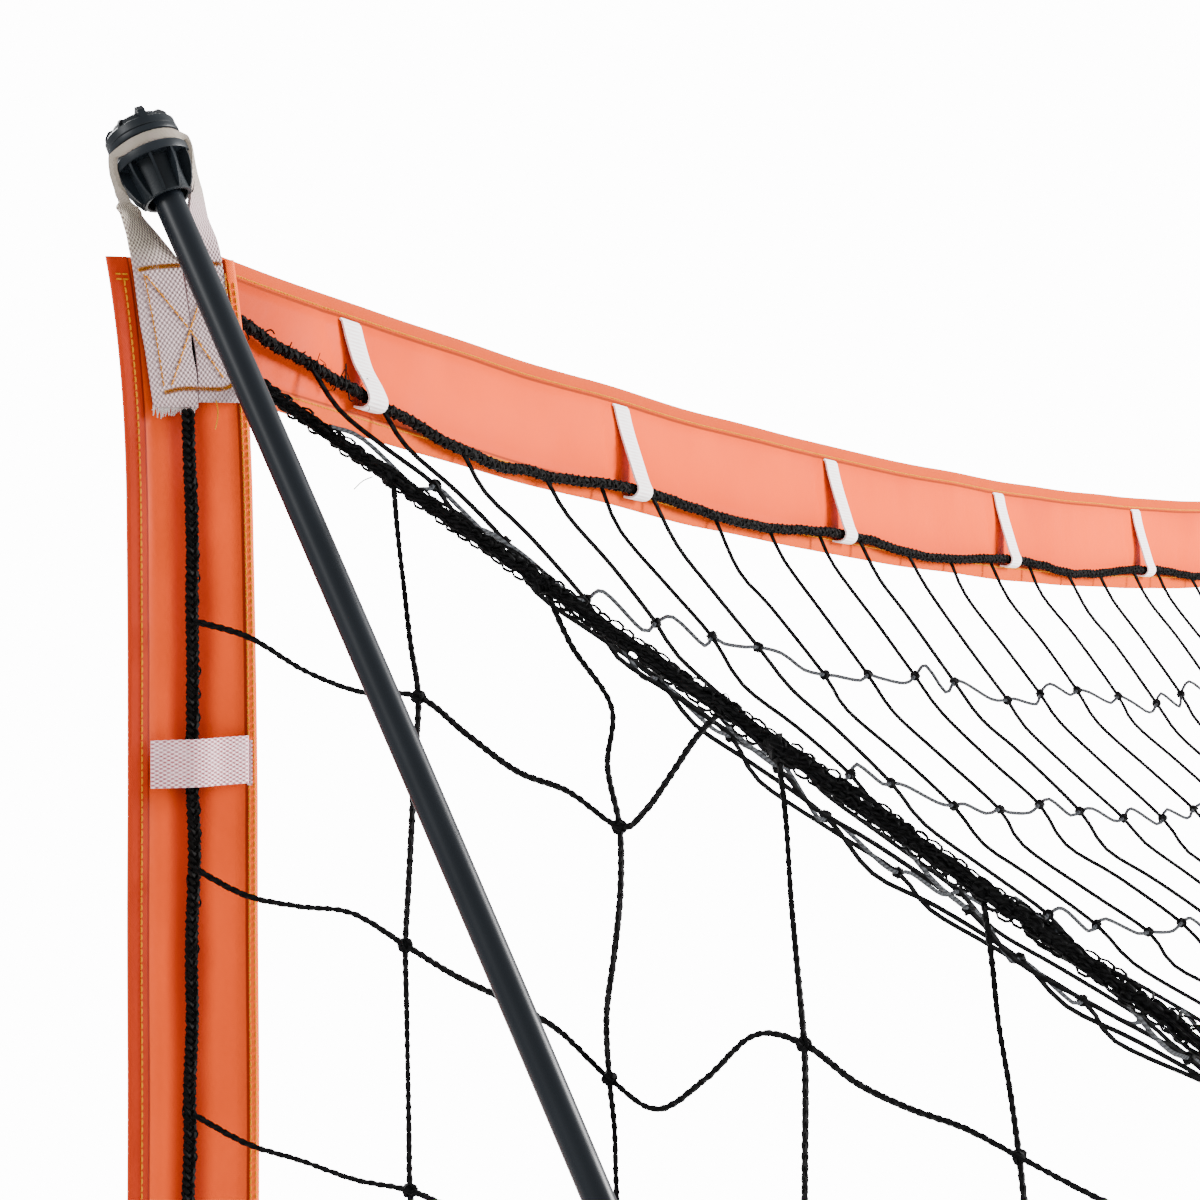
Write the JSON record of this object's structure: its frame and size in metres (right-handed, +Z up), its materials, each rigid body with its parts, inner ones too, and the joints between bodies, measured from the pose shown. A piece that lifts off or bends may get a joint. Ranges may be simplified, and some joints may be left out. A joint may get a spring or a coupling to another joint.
{
  "type": "portable soccer goal",
  "caption": "Bow-style portable soccer goal: fabric band mouth held up by bent poles, twine net on the roof, back and sides, and a plug-together tube base.",
  "frame": {"origin": "bottom centre of the goal's bounding box, on the ground", "axes": "+X along the crossbar, +Y from the mouth to the back, +Z up"},
  "size_m": [4.2232, 1.276, 1.8955],
  "materials": {
    "black_steel": "black powder coat, satin",
    "black_plastic": "moulded black plastic with a soft sheen",
    "black_pole": "black glass-fibre rod, satin gloss",
    "bright_steel": "plated steel, brushed",
    "orange_band": "coated fabric, glossy with soft creases",
    "grey_webbing": "coarse woven webbing, matte",
    "black_rope": "braided cord, matte",
    "black_twine": "twisted twine, matte"
  },
  "bodies": {
    "goal": {"back_net": "black_twine", "bottom_rope": "black_rope", "corner_webbing_front_left": "grey_webbing", "corner_webbing_front_right": "grey_webbing", "corner_webbing_rear_left": "grey_webbing", "corner_webbing_rear_right": "grey_webbing", "crossbar_band": "orange_band", "crossbar_rope": "black_rope", "foot_webbing_left": "grey_webbing", "foot_webbing_right": "grey_webbing", "front_foot_left": "black_plastic", "front_foot_right": "black_plastic", "front_pole_ferrule_left": "bright_steel", "front_pole_ferrule_right": "bright_steel", "front_pole_lower_left": "black_pole", "front_pole_lower_right": "black_pole", "front_pole_upper_left": "black_pole", "front_pole_upper_right": "black_pole", "post_band_left": "orange_band", "post_band_right": "orange_band", "post_rope_left": "black_rope", "post_rope_right": "black_rope", "rear_bar_left": "black_steel", "rear_bar_middle": "black_steel", "rear_bar_right": "black_steel", "rear_coupler_left": "black_steel", "rear_coupler_right": "black_steel", "rear_elbow_left": "black_steel", "rear_elbow_right": "black_steel", "rear_pole_left": "black_pole", "rear_pole_right": "black_pole", "rear_top_rope": "black_rope", "roof_net": "black_twine", "seam_rope_left": "black_rope", "seam_rope_right": "black_rope", "side_bar_left": "black_steel", "side_bar_right": "black_steel", "side_net_left": "black_twine", "side_net_right": "black_twine", "socket_block_left": "black_plastic", "socket_block_right": "black_plastic", "tie_strap_1": "grey_webbing", "tie_strap_2": "grey_webbing", "tie_strap_3": "grey_webbing", "tip_cap_front_left": "black_plastic", "tip_cap_front_right": "black_plastic", "tip_cap_rear_left": "black_plastic", "tip_cap_rear_right": "black_plastic", "tip_collar_front_left": "black_plastic", "tip_collar_front_right": "black_plastic", "tip_collar_rear_left": "black_plastic", "tip_collar_rear_right": "black_plastic"},
    "snap_button_coupler_middle_left": {"snap_button_coupler_middle_left": "bright_steel"},
    "snap_button_coupler_middle_right": {"snap_button_coupler_middle_right": "bright_steel"},
    "snap_button_coupler_outer_left": {"snap_button_coupler_outer_left": "bright_steel"},
    "snap_button_coupler_outer_right": {"snap_button_coupler_outer_right": "bright_steel"},
    "snap_button_elbow_rear_left": {"snap_button_elbow_rear_left": "bright_steel"},
    "snap_button_elbow_rear_right": {"snap_button_elbow_rear_right": "bright_steel"},
    "snap_button_elbow_side_left": {"snap_button_elbow_side_left": "bright_steel"},
    "snap_button_elbow_side_right": {"snap_button_elbow_side_right": "bright_steel"}
  },
  "joints": [
    {"name": "press_coupler_middle_left", "type": "slide", "parent": "goal", "child": "snap_button_coupler_middle_left", "axis": [0, 0, -1], "range_m": [0, 0.004], "stiffness_N_per_m": 800, "springref_m": -0.002},
    {"name": "press_coupler_middle_right", "type": "slide", "parent": "goal", "child": "snap_button_coupler_middle_right", "axis": [0, 0, -1], "range_m": [0, 0.004], "stiffness_N_per_m": 800, "springref_m": -0.002},
    {"name": "press_coupler_outer_left", "type": "slide", "parent": "goal", "child": "snap_button_coupler_outer_left", "axis": [0, 0, -1], "range_m": [0, 0.004], "stiffness_N_per_m": 800, "springref_m": -0.002},
    {"name": "press_coupler_outer_right", "type": "slide", "parent": "goal", "child": "snap_button_coupler_outer_right", "axis": [0, 0, -1], "range_m": [0, 0.004], "stiffness_N_per_m": 800, "springref_m": -0.002},
    {"name": "press_elbow_rear_left", "type": "slide", "parent": "goal", "child": "snap_button_elbow_rear_left", "axis": [0, 0, -1], "range_m": [0, 0.004], "stiffness_N_per_m": 800, "springref_m": -0.002},
    {"name": "press_elbow_rear_right", "type": "slide", "parent": "goal", "child": "snap_button_elbow_rear_right", "axis": [0, 0, -1], "range_m": [0, 0.004], "stiffness_N_per_m": 800, "springref_m": -0.002},
    {"name": "press_elbow_side_left", "type": "slide", "parent": "goal", "child": "snap_button_elbow_side_left", "axis": [0, 0, -1], "range_m": [0, 0.004], "stiffness_N_per_m": 800, "springref_m": -0.002},
    {"name": "press_elbow_side_right", "type": "slide", "parent": "goal", "child": "snap_button_elbow_side_right", "axis": [0, 0, -1], "range_m": [0, 0.004], "stiffness_N_per_m": 800, "springref_m": -0.002}
  ]
}
